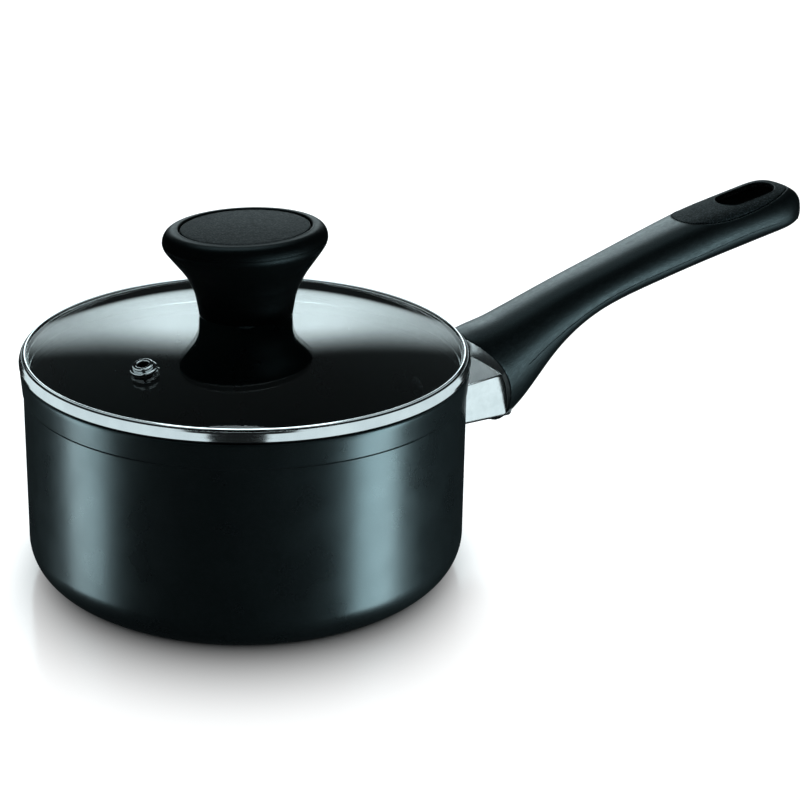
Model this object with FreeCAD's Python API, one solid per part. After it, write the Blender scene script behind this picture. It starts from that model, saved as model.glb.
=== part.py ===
import FreeCAD, Part
import math
import os

os.makedirs("parts", exist_ok=True)

V = FreeCAD.Vector
UP = V(0, 0, 1)
ORIGIN = V(0, 0, 0)

# Saucepan with a glass lid.  Millimetres, +Z up, the pan's axis on Z, the handle along +X.
# The origin is on the pan's axis at the underside of the base.

# ---- pan body ----
wall_radius = 82.05
wall_thickness = 2.5
corner_radius = 15.1
corner_sink = 0.76
foot_radius = 71.6
lip_radius = 83.0
lip_edge = 1.3
lip_round = 1.0
lip_flat = 2.0
lip_inner_edge = 2.4
step_rise = 0.7
step_out = 0.3
inner_step_rise = 1.2
inner_step_low = 0.2
rim_height = 81.0
step_height = 72.0
floor_height = 5.0
inner_corner_radius = 11.0
inner_radius = wall_radius - wall_thickness

# ---- base disc ----
disc_thickness = 2.8
disc_show = 1.0
groove_radii = [16.0, 26.0, 36.0, 46.0, 56.0, 65.0]
groove_width = 1.2
groove_depth = 0.4
disc_edge = 0.5

# ---- handle fixing ----
rivet_height = 52.0
rivet_offset = 6.8
rivet_shank = 2.5
rivet_inner_head = 4.5
rivet_outer_head = 3.6
rivet_inner_rise = 1.8
rivet_outer_rise = 1.3
rivet_hole_span = (70.0, 95.0)
bracket_thickness = 2.0
bracket_half_width = 10.4
bracket_low = 44.5
bracket_high = 56.2
tang_thickness = 3.0
tang_half_width = 6.5
tang_line = [(83.5, 46.0), (104.0, 46.0), (140.0, 76.0)]
guard_half_width = 12.4
guard_low = 40.0
guard_shoulder = 57.0
guard_corner = 6.0
guard_edge = 1.0
guard_start = 70.0
guard_crown_start = 59.5
guard_crown_end = 69.0
guard_thickness = 0.9
guard_end = 112.5
screw_point = (126.0, 64.33)
screw_shank = 2.0
screw_seat = 5.2
screw_head = 3.6
screw_head_height = 2.3
screw_tip = -5.0
cross_length = 4.4
cross_width = 0.9
cross_depth = 1.3
screw_access = 4.6
washer_radius = 4.2
washer_thickness = 0.8

# ---- handle grip: x, top, parting line, bottom, half width, roundness of the upper half ----
grip_stations = [
    (88.0, 74.6, 45.0, 36.0, 17.6, 2.3),
    (100.0, 77.0, 51.0, 36.7, 17.2, 2.3),
    (112.0, 79.8, 58.3, 37.8, 16.0, 2.3),
    (118.0, 81.7, 62.7, 41.8, 15.2, 2.3),
    (125.0, 84.0, 67.1, 49.3, 14.4, 2.3),
    (132.0, 86.4, 71.0, 57.8, 13.7, 2.3),
    (142.0, 89.6, 76.1, 67.2, 13.0, 2.32),
    (152.0, 92.6, 80.6, 73.3, 12.6, 2.35),
    (163.0, 95.8, 84.5, 77.6, 12.5, 2.4),
    (175.0, 99.3, 87.8, 80.9, 12.7, 2.5),
    (188.0, 103.0, 90.9, 84.1, 13.1, 2.65),
    (200.0, 106.2, 93.8, 87.0, 13.7, 2.8),
    (212.0, 108.8, 97.0, 89.5, 14.3, 3.0),
    (225.0, 111.0, 100.2, 92.0, 14.8, 3.1),
    (236.0, 112.9, 102.2, 94.2, 15.0, 3.2),
    (244.6, 114.5, 103.1, 96.1, 15.0, 3.2),
]
lower_roundness = 2.3
tip_length = 15.8
tip_slopes = (0.19, 0.06, 0.22)
tip_drop = 4.2
tip_power = 2.3
tip_steps = [0.35, 0.6, 0.78, 0.9, 0.965, 0.99]
section_points = 24
scoop_centre = (77.5, 46.5)
scoop_radius = 32.0
hood_end = 94.0

# ---- hanging slot and the plate around it ----
end_tilt = 9.7
slot_centre = 235.0
slot_length = 27.6
slot_width = 13.8
slot_relief = 0.3
plate_centre = 227.0
plate_half_length = 27.4
plate_half_width = 12.3
plate_thickness = 2.0
plate_roundness = 2.5
plate_gap = 0.2

# ---- lid ----
dome_radius = 232.8
dome_top = 100.2
glass_thickness = 3.5
glass_edge = 82.0
knob_hole = 4.0
band_radius = 83.3
band_low = 82.1
band_high = 86.4
lip_inner = 80.75
flange_low = 81.05
flange_high = 81.5
skirt_outer = 79.7
skirt_inner = 79.1
skirt_low = 76.8

# ---- steam vent ----
vent_radius = 56.7
vent_angle = 203.3
vent_bore = 2.25
vent_tube = 2.75
vent_hole = 3.1
vent_flange = 4.8
vent_collar = 3.75
vent_height = 3.0
vent_ledge = 1.6
vent_seat = 0.65
vent_curl = 1.2
vent_curl_height = 0.6
vent_washer = 5.0
vent_washer_thickness = 0.95
vent_gasket = 4.55
vent_under_gap = 0.15

# ---- knob: height, half length ----
knob_angle = 2.0
knob_ratio = 0.84
knob_sections = [
    (98.0, 17.6),
    (100.5, 17.7),
    (103.5, 18.1),
    (107.5, 18.9),
    (112.0, 20.5),
    (116.0, 23.0),
    (120.0, 26.8),
    (123.0, 29.3),
    (125.5, 30.9),
    (127.5, 31.4),
    (129.3, 31.0),
    (130.9, 29.7),
    (132.0, 27.9),
    (132.6, 25.8),
]
knob_top = 132.6
knob_edge_gap = 0.15
cap_half_length = 24.1
cap_half_width = 20.4
cap_gap = 0.3
cap_thickness = 2.2
cap_edge = 0.5
seat_thickness = 0.9
seat_radius = 11.5
knob_gasket_radius = 8.0
knob_gasket_thickness = 1.1
knob_washer_radius = 7.0
knob_washer_thickness = 1.0
insert_radius = 5.0
insert_length = 11.5
knob_screw_shank = 2.45
knob_screw_head = 4.8
knob_screw_head_height = 2.6
knob_screw_point = 0.6
knob_cross_length = 5.0
knob_cross_width = 1.0
knob_cross_depth = 1.5

fit_gap = 0.03


def side_point(a, z):
    return V(a, 0, z)


def across_point(y, z):
    return V(0, y, z)


def closed_face(start, steps, place):
    """A flat face from a start point and steps: (a, b) is a line, (am, bm, a, b) an arc."""
    edges = []
    here = start
    for step in steps:
        target = step[-2:]
        if len(step) == 2:
            edges.append(Part.makeLine(place(*here), place(*target)))
        else:
            edges.append(Part.Arc(place(*here), place(*step[:2]), place(*target)).toShape())
        here = target
    if here != start:
        edges.append(Part.makeLine(place(*here), place(*start)))
    return Part.Face(Part.Wire(edges))


def turned(start, steps):
    return closed_face(start, steps, side_point).revolve(ORIGIN, UP, 360)


def ring(inner, outer, low, high):
    solid = Part.makeCylinder(outer, high - low, V(0, 0, low))
    return solid.cut(Part.makeCylinder(inner, high - low + 2, V(0, 0, low - 1)))


def arc_middle(centre, radius, angle_deg):
    a = math.radians(angle_deg)
    return centre[0] + radius * math.cos(a), centre[1] + radius * math.sin(a)


# ---------------------------------------------------------------- pan body

def rivet_angle():
    return math.degrees(math.asin(rivet_offset / wall_radius))


def radial_cylinder(radius, start, end, side, height):
    solid = Part.makeCylinder(radius, end - start, V(start, 0, height), V(1, 0, 0))
    solid.rotate(ORIGIN, UP, side * rivet_angle())
    return solid


def pan_shell():
    outer_centre = (wall_radius - corner_radius, corner_radius - corner_sink)
    drop = outer_centre[1] - disc_show
    heel = outer_centre[0] + math.sqrt(corner_radius ** 2 - drop ** 2)
    heel_angle = -math.degrees(math.asin(drop / corner_radius))
    inner_centre = (inner_radius - inner_corner_radius, floor_height + inner_corner_radius)
    recess = foot_radius + fit_gap
    steps = [
        (recess, disc_thickness),
        (recess, disc_show),
        (heel, disc_show),
        arc_middle(outer_centre, corner_radius, heel_angle / 2) + (wall_radius, outer_centre[1]),
        (wall_radius, step_height - step_rise),
        (wall_radius + step_out, step_height),
        (lip_radius, rim_height - lip_edge),
        (lip_radius - lip_round / 4, rim_height - lip_edge / 4, lip_radius - lip_round, rim_height),
        (lip_radius - lip_flat, rim_height),
        (lip_radius - lip_inner_edge + 0.1, rim_height - 0.1, lip_radius - lip_inner_edge, rim_height - 0.4),
        (lip_radius - lip_inner_edge - 0.2, step_height + inner_step_rise),
        (inner_radius, step_height + inner_step_low),
        (inner_radius, inner_centre[1]),
        arc_middle(inner_centre, inner_corner_radius, -45) + (inner_centre[0], floor_height),
        (0, floor_height),
    ]
    shell = turned((0, disc_thickness), steps)
    for side in (-1, 1):
        shell = shell.cut(radial_cylinder(rivet_shank + fit_gap, *rivet_hole_span, side, rivet_height))
    return shell


def base_disc():
    top = disc_thickness - fit_gap
    steps = []
    for radius in groove_radii:
        steps += [
            (radius - groove_width / 2, 0),
            (radius, groove_depth, radius + groove_width / 2, 0),
        ]
    steps += [(foot_radius - disc_edge, 0), (foot_radius, disc_edge), (foot_radius, top), (0, top)]
    return turned((0, 0), steps)


# ---------------------------------------------------------------- handle fixing

def tang_direction():
    (x0, z0), (x1, z1) = tang_line[1:]
    length = math.hypot(x1 - x0, z1 - z0)
    return (x1 - x0) / length, (z1 - z0) / length


def tang(thickness, half_width, start, extra):
    """The bent tongue, as a strip of the given thickness."""
    (x0, z0), (x1, z1), (x2, z2) = tang_line
    dx, dz = tang_direction()
    x2 += dx * extra
    z2 += dz * extra
    h = thickness / 2
    bend = math.atan2(dz, dx) / 2
    mx = h * math.tan(bend)
    nx, nz = -dz * h, dx * h
    points = [
        (start, z0 - h),
        (x1 + mx, z1 - h),
        (x2 - nx, z2 - nz),
        (x2 + nx, z2 + nz),
        (x1 - mx, z1 + h),
        (start, z0 + h),
    ]
    wire = Part.makePolygon([V(x, -half_width, z) for x, z in points + points[:1]])
    return Part.Face(wire).extrude(V(0, 2 * half_width, 0))


def screw_axis(radius, start, end):
    """A cylinder about the handle screw's axis; distances run outwards from the tongue."""
    dx, dz = tang_direction()
    out = V(dz, 0, -dx)
    foot = V(screw_point[0], 0, screw_point[1]) + out * start
    return Part.makeCylinder(radius, end - start, foot, out)


def handle_bracket():
    low = wall_radius + fit_gap
    high = low + bracket_thickness
    plate = ring(low, high, bracket_low, bracket_high)
    keep = Part.makeBox(40, 2 * bracket_half_width, 40, V(60, -bracket_half_width, 30))
    plate = plate.common(keep)
    solid = plate.fuse(tang(tang_thickness, tang_half_width, low + 0.8, 0)).removeSplitter()
    for side in (-1, 1):
        solid = solid.cut(radial_cylinder(rivet_shank + fit_gap, *rivet_hole_span, side, rivet_height))
    return solid.cut(screw_axis(screw_shank + fit_gap, -10, 10))


def handle_rivet(side):
    inside = inner_radius - fit_gap
    outside = wall_radius + bracket_thickness + 2 * fit_gap
    ball = (rivet_inner_head ** 2 + rivet_inner_rise ** 2) / (2 * rivet_inner_rise)
    head = Part.makeSphere(ball, V(inside - rivet_inner_rise + ball, 0, rivet_height))
    foot = V(inside - 2 * rivet_inner_rise, 0, rivet_height)
    head = head.common(Part.makeCylinder(rivet_inner_head, 3 * rivet_inner_rise, foot, V(1, 0, 0)))
    ball = (rivet_outer_head ** 2 + rivet_outer_rise ** 2) / (2 * rivet_outer_rise)
    tail = Part.makeSphere(ball, V(outside + rivet_outer_rise - ball, 0, rivet_height))
    foot = V(outside - 2 * rivet_outer_rise, 0, rivet_height)
    tail = tail.common(Part.makeCylinder(rivet_outer_head, 4 * rivet_outer_rise, foot, V(1, 0, 0)))
    for part in (head, tail):
        part.rotate(ORIGIN, UP, side * rivet_angle())
    head = head.common(Part.makeCylinder(inside, 40, V(0, 0, 30)))
    tail = tail.cut(Part.makeCylinder(outside, 40, V(0, 0, 30)))
    shank = radial_cylinder(rivet_shank, inside - 1, outside + 0.5, side, rivet_height)
    return head.fuse([tail, shank]).removeSplitter()


def guard_wire(inset, x):
    """The guard's outline at x. Its roof rises towards the handle."""
    half = guard_half_width - inset
    low = guard_low + inset
    share = (x - guard_start) / (guard_end - guard_start)
    crown = guard_crown_start + (guard_crown_end - guard_crown_start) * share - inset
    shoulder = guard_shoulder - inset
    corner = guard_corner - inset
    bend = corner * (1 - math.sqrt(0.5))
    ledge = shoulder + guard_edge / 3
    steps = [
        (half, shoulder - guard_edge),
        (half - guard_edge / 3, shoulder - guard_edge / 8, half - guard_edge, ledge),
        (0, crown, guard_edge - half, ledge),
        (guard_edge / 3 - half, shoulder - guard_edge / 8, -half, shoulder - guard_edge),
        (-half, low + corner),
        (bend - half, low + bend, corner - half, low),
        (half - corner, low),
        (half - bend, low + bend, half, low + corner),
    ]
    wire = closed_face((half, low + corner), steps, across_point).OuterWire
    wire.translate(V(x, 0, 0))
    return wire


def guard_tube(inset, start, end):
    return Part.makeLoft([guard_wire(inset, start), guard_wire(inset, end)], True, True)


def flame_guard():
    bore = guard_tube(guard_thickness, guard_start - 1, guard_end + 1)
    tube = guard_tube(0, guard_start, guard_end).cut(bore)
    return tube.cut(Part.makeCylinder(wall_radius + 0.1, 60, V(0, 0, 20)))


def handle_screw():
    shank = screw_axis(screw_shank, screw_tip, screw_seat + 0.5)
    head = screw_axis(screw_head, screw_seat + fit_gap, screw_seat + screw_head_height)
    dx, dz = tang_direction()
    out = V(dz, 0, -dx)
    along = V(dx, 0, dz)
    outer = V(screw_point[0], 0, screw_point[1]) + out * (screw_seat + screw_head_height)
    screw = shank.fuse(head).removeSplitter()
    for direction in (along, V(0, 1, 0)):
        side = out.cross(direction)
        corner = outer - direction * cross_length / 2 - side * cross_width / 2 - out * cross_depth
        blade = Part.makePolygon([
            corner,
            corner + direction * cross_length,
            corner + direction * cross_length + side * cross_width,
            corner + side * cross_width,
            corner,
        ])
        screw = screw.cut(Part.Face(blade).extrude(out * 2 * cross_depth))
    return screw


def handle_screw_washer():
    outer = screw_axis(washer_radius, screw_seat - washer_thickness + fit_gap, screw_seat)
    return outer.cut(screw_axis(screw_shank + 0.1, 0, 10))


# ---------------------------------------------------------------- handle grip

def power_arc(value, power):
    return math.copysign(abs(value) ** (2.0 / power), value)


def section_wire(x, middle, upper, lower, half_width, roundness):
    points = []
    for k in range(section_points):
        a = 2 * math.pi * k / section_points
        power = roundness if math.sin(a) >= 0 else lower_roundness
        rise = upper if math.sin(a) >= 0 else lower
        y = half_width * power_arc(math.cos(a), power)
        z = middle + rise * power_arc(math.sin(a), power)
        points.append(V(x, y, z))
    curve = Part.BSplineCurve()
    curve.interpolate(points, PeriodicFlag=True)
    return Part.Wire(curve.toShape())


def grip_blank():
    wires = []
    for x, top, parting, bottom, half_width, roundness in grip_stations:
        wires.append(section_wire(x, parting, top - parting, parting - bottom, half_width, roundness))
    x, top, parting, bottom, half_width, roundness = grip_stations[-1]
    for step in tip_steps:
        run = step * tip_length
        shrink = (1 - step ** tip_power) ** (1 / tip_power)
        high = top + tip_slopes[0] * run
        mid = parting + tip_slopes[1] * run
        low = bottom + tip_slopes[2] * run
        centre = (high + low) / 2 - tip_drop
        wires.append(section_wire(
            x + run,
            centre + (mid - centre) * shrink,
            (high - mid) * shrink,
            (mid - low) * shrink,
            half_width * shrink,
            roundness,
        ))
    return Part.makeLoft(wires, True, False)


def end_frame(shape, x):
    """Moves a shape built at the origin, along +Z, to the handle's end, square to its top."""
    high = grip_stations[-2]
    z = high[1] + (x - high[0]) * math.tan(math.radians(end_tilt))
    shape.rotate(ORIGIN, V(0, 1, 0), -end_tilt)
    shape.translate(V(x, 0, z))
    return shape


def slot_prism(extra):
    radius = slot_width / 2 + extra
    straight = slot_length / 2 - slot_width / 2
    steps = [
        (straight, -radius),
        (straight + radius, 0, straight, radius),
        (-straight, radius),
        (-straight - radius, 0, -straight, -radius),
    ]
    face = closed_face((-straight, -radius), steps, lambda a, b: V(a, b, -50))
    return end_frame(face.extrude(V(0, 0, 80)), slot_centre)


def plate_prism(extra):
    points = []
    count = 40
    for k in range(count):
        a = 2 * math.pi * k / count
        x = (plate_half_length + extra) * power_arc(math.cos(a), plate_roundness)
        y = (plate_half_width + extra) * power_arc(math.sin(a), plate_roundness)
        points.append(V(x, y, -12))
    curve = Part.BSplineCurve()
    curve.interpolate(points, PeriodicFlag=True)
    face = Part.Face(Part.Wire(curve.toShape()))
    return end_frame(face.extrude(V(0, 0, 30)), plate_centre)


def lowered(blank, depth):
    copy = blank.copy()
    a = math.radians(end_tilt)
    copy.translate(V(math.sin(a) * depth, 0, -math.cos(a) * depth))
    return copy


def handle_grip(blank):
    (sx, sz), r = scoop_centre, scoop_radius
    scoop = Part.makeCylinder(r, 80, V(sx, -40, sz), V(0, 1, 0))
    front = Part.makeBox(40, 80, 80, V(hood_end - 40, -40, 20))
    recess = plate_prism(plate_gap).cut(lowered(blank, plate_thickness + fit_gap))
    grip = blank.cut([scoop, front])
    grip = grip.cut(guard_tube(-0.1, 80, guard_end + 0.2))
    grip = grip.cut(tang(tang_thickness + 0.6, tang_half_width + 0.3, 90, 1.0))
    grip = grip.cut(screw_axis(screw_shank + 0.3, screw_tip - 0.5, 12))
    grip = grip.cut(screw_axis(screw_access, screw_seat - washer_thickness, 25))
    grip = grip.cut(recess)
    return grip.cut(slot_prism(slot_relief))


def handle_end_insert(blank):
    plate = plate_prism(0).common(blank).cut(lowered(blank, plate_thickness))
    return plate.cut(slot_prism(0))


# ---------------------------------------------------------------- lid

def dome_ball(offset):
    return Part.makeSphere(dome_radius + offset, V(0, 0, dome_top - dome_radius))


def dome_height(radius, offset):
    ball = dome_radius + offset
    return dome_top - dome_radius + math.sqrt(ball * ball - radius * radius)


def vent_frame(shape):
    """Moves a shape built on Z to the vent, with z = 0 on the glass's outer face."""
    lean = math.degrees(math.asin(vent_radius / dome_radius))
    shape.translate(V(0, 0, dome_radius))
    shape.rotate(ORIGIN, V(0, 1, 0), lean)
    shape.rotate(ORIGIN, UP, vent_angle)
    shape.translate(V(0, 0, dome_top - dome_radius))
    return shape


def lid_glass():
    t = glass_thickness
    middle = (knob_hole + glass_edge) / 2
    steps = [
        (middle, dome_height(middle, 0), glass_edge, dome_height(glass_edge, 0)),
        (glass_edge, dome_height(glass_edge, -t)),
        (middle, dome_height(middle, -t), knob_hole, dome_height(knob_hole, -t)),
    ]
    glass = turned((knob_hole, dome_height(knob_hole, 0)), steps)
    return glass.cut(vent_frame(Part.makeCylinder(vent_hole, 20, V(0, 0, -10))))


def lid_rim_band():
    under_lip = dome_height(lip_inner, 0) + 0.06
    pocket = glass_edge + 0.1
    under_pocket = dome_height(glass_edge, 0) + 0.06
    steps = [
        (lip_inner, under_lip + 0.3),
        (lip_inner + 0.35, band_high, lip_inner + 0.95, band_high - 0.3),
        (pocket - 0.1, band_high - 0.75),
        (pocket + 0.1, band_high - 0.8),
        (band_radius - 0.35, band_high - 1.15, band_radius, band_high - 2.0),
        (band_radius, band_low + 0.7),
        (band_radius - 0.2, band_low + 0.2, band_radius - 0.7, band_low),
        (band_radius - 0.7, flange_low + 0.4),
        (band_radius - 0.8, flange_low + 0.12, band_radius - 1.1, flange_low),
        (skirt_outer, flange_low),
        (skirt_outer, skirt_low + 0.3),
        (skirt_outer - 0.3, skirt_low, skirt_inner, skirt_low + 0.3),
        (skirt_inner, flange_high),
        (pocket, flange_high),
        (pocket, under_pocket),
    ]
    return turned((lip_inner, under_lip), steps)


def steam_vent_eyelet():
    low = -glass_thickness - vent_under_gap - vent_washer_thickness - 0.1
    curl = vent_tube + vent_curl
    steps = [
        (vent_bore, vent_height - 0.3),
        (vent_bore + 0.1, vent_height - 0.1, vent_bore + 0.35, vent_height),
        (vent_collar - 0.5, vent_height),
        (vent_collar - 0.13, vent_height - 0.13, vent_collar, vent_height - 0.5),
        (vent_collar, vent_ledge + 0.05),
        (vent_flange - 0.4, vent_ledge),
        (vent_flange - 0.05, vent_ledge - 0.15, vent_flange, vent_ledge - 0.45),
        (vent_flange, vent_seat),
        (vent_tube, vent_seat),
        (vent_tube, low),
        (curl - 0.2, low),
        (curl, low - vent_curl_height / 2, curl - 0.2, low - vent_curl_height),
        (vent_bore, low - vent_curl_height),
    ]
    return vent_frame(turned((vent_bore, 0), steps))


def steam_vent_washer():
    top = -glass_thickness - vent_under_gap
    return vent_frame(ring(vent_tube + 0.05, vent_washer, top - vent_washer_thickness, top))


def steam_vent_gasket():
    blank = vent_frame(ring(vent_tube + 0.05, vent_gasket, -0.5, vent_seat - fit_gap))
    return blank.cut(dome_ball(fit_gap)).removeSplitter()


# ---------------------------------------------------------------- knob

def ellipse_wire(z, half_length, half_width):
    return Part.Wire(Part.Ellipse(V(0, 0, z), half_length, half_width).toShape())


def knob_turn(shape):
    shape.rotate(ORIGIN, UP, knob_angle)
    return shape


def cap_prism(extra, low, high):
    wire = ellipse_wire(low, cap_half_length + extra, cap_half_width + extra)
    return Part.Face(wire).extrude(V(0, 0, high - low))


def insert_low():
    return dome_top + seat_thickness + 0.2


def knob_body():
    wires = [ellipse_wire(z, half, half * knob_ratio) for z, half in knob_sections]
    solid = Part.makeLoft(wires, True, False)
    solid = solid.cut(cap_prism(cap_gap, knob_top - cap_thickness - fit_gap, knob_top + 5))
    seat = Part.makeCylinder(seat_radius + cap_gap, 10, V(0, 0, dome_top - 5))
    solid = solid.cut([dome_ball(knob_edge_gap), seat.common(dome_ball(seat_thickness))])
    pocket = Part.makeCylinder(insert_radius + fit_gap, insert_length + fit_gap, V(0, 0, insert_low()))
    mouth = Part.makeCylinder(knob_screw_shank + 0.4, 6, V(0, 0, dome_top - 2))
    return knob_turn(solid.cut([pocket, mouth]))


def knob_top_insert():
    low = knob_top - cap_thickness
    cap = cap_prism(0, low, knob_top - 0.1)
    rim = [e for e in cap.Edges if e.BoundBox.ZMin > knob_top - 0.2]
    return knob_turn(cap.makeFillet(cap_edge, rim))


def knob_threaded_insert():
    return ring(knob_screw_shank + fit_gap, insert_radius, insert_low(), insert_low() + insert_length)


def under_glass():
    return dome_top - glass_thickness


def knob_seat_gasket():
    blank = ring(knob_screw_shank + 0.3, seat_radius, dome_top - 3, dome_top + 3)
    return blank.common(dome_ball(seat_thickness - fit_gap)).cut(dome_ball(fit_gap))


def knob_gasket():
    low = under_glass() - knob_gasket_thickness
    blank = ring(knob_screw_shank + 0.15, knob_gasket_radius, low, under_glass() + 1)
    return blank.common(dome_ball(-glass_thickness - fit_gap))


def knob_washer():
    high = under_glass() - knob_gasket_thickness - fit_gap
    return ring(knob_screw_shank + 0.1, knob_washer_radius, high - knob_washer_thickness, high)


def knob_screw():
    seat = under_glass() - knob_gasket_thickness - knob_washer_thickness - 2 * fit_gap
    low = seat - knob_screw_head_height
    top = insert_low() + insert_length - knob_cross_depth
    steps = [
        (0, top),
        (knob_screw_shank - knob_screw_point, top),
        (knob_screw_shank, top - knob_screw_point),
        (knob_screw_shank, seat),
        (knob_screw_head, seat),
        (knob_screw_head, seat - 1.0),
        (knob_screw_head - 1.0, seat - 2.1, knob_screw_head - 2.6, low),
    ]
    screw = turned((0, low), steps)
    for length, width in ((knob_cross_length, knob_cross_width), (knob_cross_width, knob_cross_length)):
        corner = V(-length / 2, -width / 2, low - 0.5)
        screw = screw.cut(Part.makeBox(length, width, knob_cross_depth + 0.5, corner))
    return screw


blank = grip_blank()

nodes = {
    "pan_shell": pan_shell(),
    "base_disc": base_disc(),
    "handle_bracket": handle_bracket(),
    "handle_rivet_left": handle_rivet(1),
    "handle_rivet_right": handle_rivet(-1),
    "flame_guard": flame_guard(),
    "handle_grip": handle_grip(blank),
    "handle_end_insert": handle_end_insert(blank),
    "handle_screw": handle_screw(),
    "handle_screw_washer": handle_screw_washer(),
    "lid_glass": lid_glass(),
    "lid_rim_band": lid_rim_band(),
    "steam_vent_eyelet": steam_vent_eyelet(),
    "steam_vent_washer": steam_vent_washer(),
    "steam_vent_gasket": steam_vent_gasket(),
    "knob_body": knob_body(),
    "knob_top_insert": knob_top_insert(),
    "knob_threaded_insert": knob_threaded_insert(),
    "knob_seat_gasket": knob_seat_gasket(),
    "knob_gasket": knob_gasket(),
    "knob_washer": knob_washer(),
    "knob_screw": knob_screw(),
}

for name, shape in nodes.items():
    shape.exportStep("parts/" + name + ".step")
    print(name, shape.isValid(), len(shape.Solids), round(shape.Volume, 1), shape.BoundBox)
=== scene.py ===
import math

import bmesh
import bpy
from mathutils import Matrix, Vector
from mathutils.bvhtree import BVHTree


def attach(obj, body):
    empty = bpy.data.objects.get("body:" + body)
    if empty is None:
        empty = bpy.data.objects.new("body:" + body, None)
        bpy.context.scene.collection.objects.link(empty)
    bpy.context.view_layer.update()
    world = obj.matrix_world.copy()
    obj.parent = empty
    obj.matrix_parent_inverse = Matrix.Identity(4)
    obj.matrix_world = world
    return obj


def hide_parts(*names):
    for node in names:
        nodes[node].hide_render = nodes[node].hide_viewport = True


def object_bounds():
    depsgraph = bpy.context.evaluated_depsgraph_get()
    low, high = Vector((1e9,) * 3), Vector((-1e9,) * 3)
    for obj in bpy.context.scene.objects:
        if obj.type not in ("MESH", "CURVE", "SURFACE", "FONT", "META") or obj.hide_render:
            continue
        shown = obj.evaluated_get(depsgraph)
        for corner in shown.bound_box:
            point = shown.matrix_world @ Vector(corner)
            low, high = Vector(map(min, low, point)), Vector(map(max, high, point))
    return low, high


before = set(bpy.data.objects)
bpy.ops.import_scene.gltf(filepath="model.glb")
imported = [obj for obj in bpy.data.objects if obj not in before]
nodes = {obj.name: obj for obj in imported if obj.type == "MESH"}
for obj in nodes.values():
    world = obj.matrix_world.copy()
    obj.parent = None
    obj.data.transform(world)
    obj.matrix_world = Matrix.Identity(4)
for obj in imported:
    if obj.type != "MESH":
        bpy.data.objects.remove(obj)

# A saucepan with a glass lid, redrawn over its CAD. Shapes and noise sizes are in millimetres, and MM turns
# them into metres. The lamps and the floor are in metres. Angles are in degrees.
MM = 0.001
TURN = 2 * math.pi
cad_low, cad_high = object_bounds()
scene = bpy.context.scene

# ---- view ----
CAMERA_PLACE = (-362.7, -688.6, 372.75)
CAMERA_TURN = 32.0
CAMERA_TILT = 21.568
CAMERA_ROLL = 1.2236
CAMERA_LENS = 100.6
SENSOR = 36.0

# ---- steps of round shapes ----
ROUND_STEPS = 320
FILLET_STEPS = 5
CURVE_STEPS = 6
OVAL_STEPS = 160
LINE_STEPS = 72
SLOT_END_STEPS = 24
SMOOTH_PASSES = 4

# ---- pan shell ----
PAN_RADIUS = 82.05
PAN_INSIDE = 79.55
PAN_LIP_RADIUS = 83.0
PAN_RIM = 81.0
PAN_FLOOR = 5.0
PAN_UNDERSIDE = 2.8
BASE_SEAT_RADIUS = 71.63
FOOT_LOW = 1.0
FOOT_CENTRE = (66.95, 14.34)
FOOT_ROUND = 15.1
FOOT_START = -62.0
INSIDE_CENTRE = (68.55, 16.0)
INSIDE_ROUND = 11.0

# ---- lid band and its skirt ----
BAND_RADIUS = 83.28
BAND_HIGH = 86.4
BAND_LOW = 81.7
BAND_LIP = 80.75
BAND_POCKET = 82.1
SKIRT_OUTSIDE = 79.7
SKIRT_INSIDE = 79.1
SKIRT_LOW = 76.8
SHELF = 81.6
GLASS_PLAY = 0.06
# The band's material paints shade in its groove, and on its inner shelf where that shows through the glass,
# within these radii and heights.
GROOVE_RADIUS = 82.02
GROOVE_HALF = 0.26
GROOVE_EDGE = 0.08
SHELF_SHADE_RADIUS = 82.3
SHELF_SHADE_LOW = 81.3
SHELF_SHADE_HIGH = 85.3

# ---- mould parting line of the grip: x, height, half width ----
GRIP_PARTING = (
    (118, 62.7, 15.2), (125, 67.1, 14.4), (132, 71.0, 13.7), (142, 76.1, 13.0),
    (152, 80.6, 12.6), (163, 84.5, 12.5), (175, 87.8, 12.7), (188, 90.9, 13.1),
    (200, 93.8, 13.7), (212, 97.0, 14.3), (225, 100.2, 14.8), (236, 102.2, 15.0),
    (244.6, 103.1, 15.0), (250.1, 102.9, 14.3), (254.1, 102.3, 12.6), (257.0, 101.6, 10.0),
    (258.8, 101.0, 7.4),
)
PARTING_BEAD = 0.14

# ---- knob: outlines are pairs of half length and height ----
KNOB_TURN = 2.0
KNOB_RATIO = 0.84
WAIST_RATIO = 0.97
WAIST_HEIGHT = 112.0
RIM_HEIGHT = 127.0
KNOB_TOP = 132.6
KNOB_GAP = 0.15
KNOB_FLARE = (
    (17.4, 99.9), (17.7, 101.5), (18.1, 103.8), (18.9, 107.6), (20.7, 112.0), (23.1, 116.0),
    (26.3, 120.0), (28.8, 123.0), (30.7, 125.5), (31.35, 127.2),
)
KNOB_CROWN = ((31.3, 128.4), (30.9, 129.8), (29.9, 131.2), (28.4, 132.1), (26.8, 132.42))
KNOB_STEP = ((31.38, 127.45), (31.22, 127.5), (31.22, 127.62), (31.36, 127.68))
KNOB_GROOVE = (
    (26.3, 132.42), (25.95, 132.57, 0.1), (25.5, 132.4, 0.1), (25.15, 131.9, 0.1), (25.1, 130.4),
)
CAP_HALF = 24.65
CAP_RISE = 0.35
CAP_DROP = 0.1
CAP_FOOT = 130.4
CAP_SHARP_ANGLE = 40

# ---- handle end: plate and hanging slot ----
END_TILT = 9.7
END_PLACE = 236.0
END_HEIGHT = 112.9
PLATE_MIDDLE = 227.0
PLATE_HALF_LENGTH = 27.4
PLATE_HALF_WIDTH = 12.3
PLATE_ROUNDNESS = 2.5
SLOT_MIDDLE = 235.0
SLOT_LENGTH = 27.6
SLOT_WIDTH = 13.8
END_BEAD = 0.13
END_BEAD_LIFT = 0.02
PROBE_LIFT = 20
PROBE_REACH = 40

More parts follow.
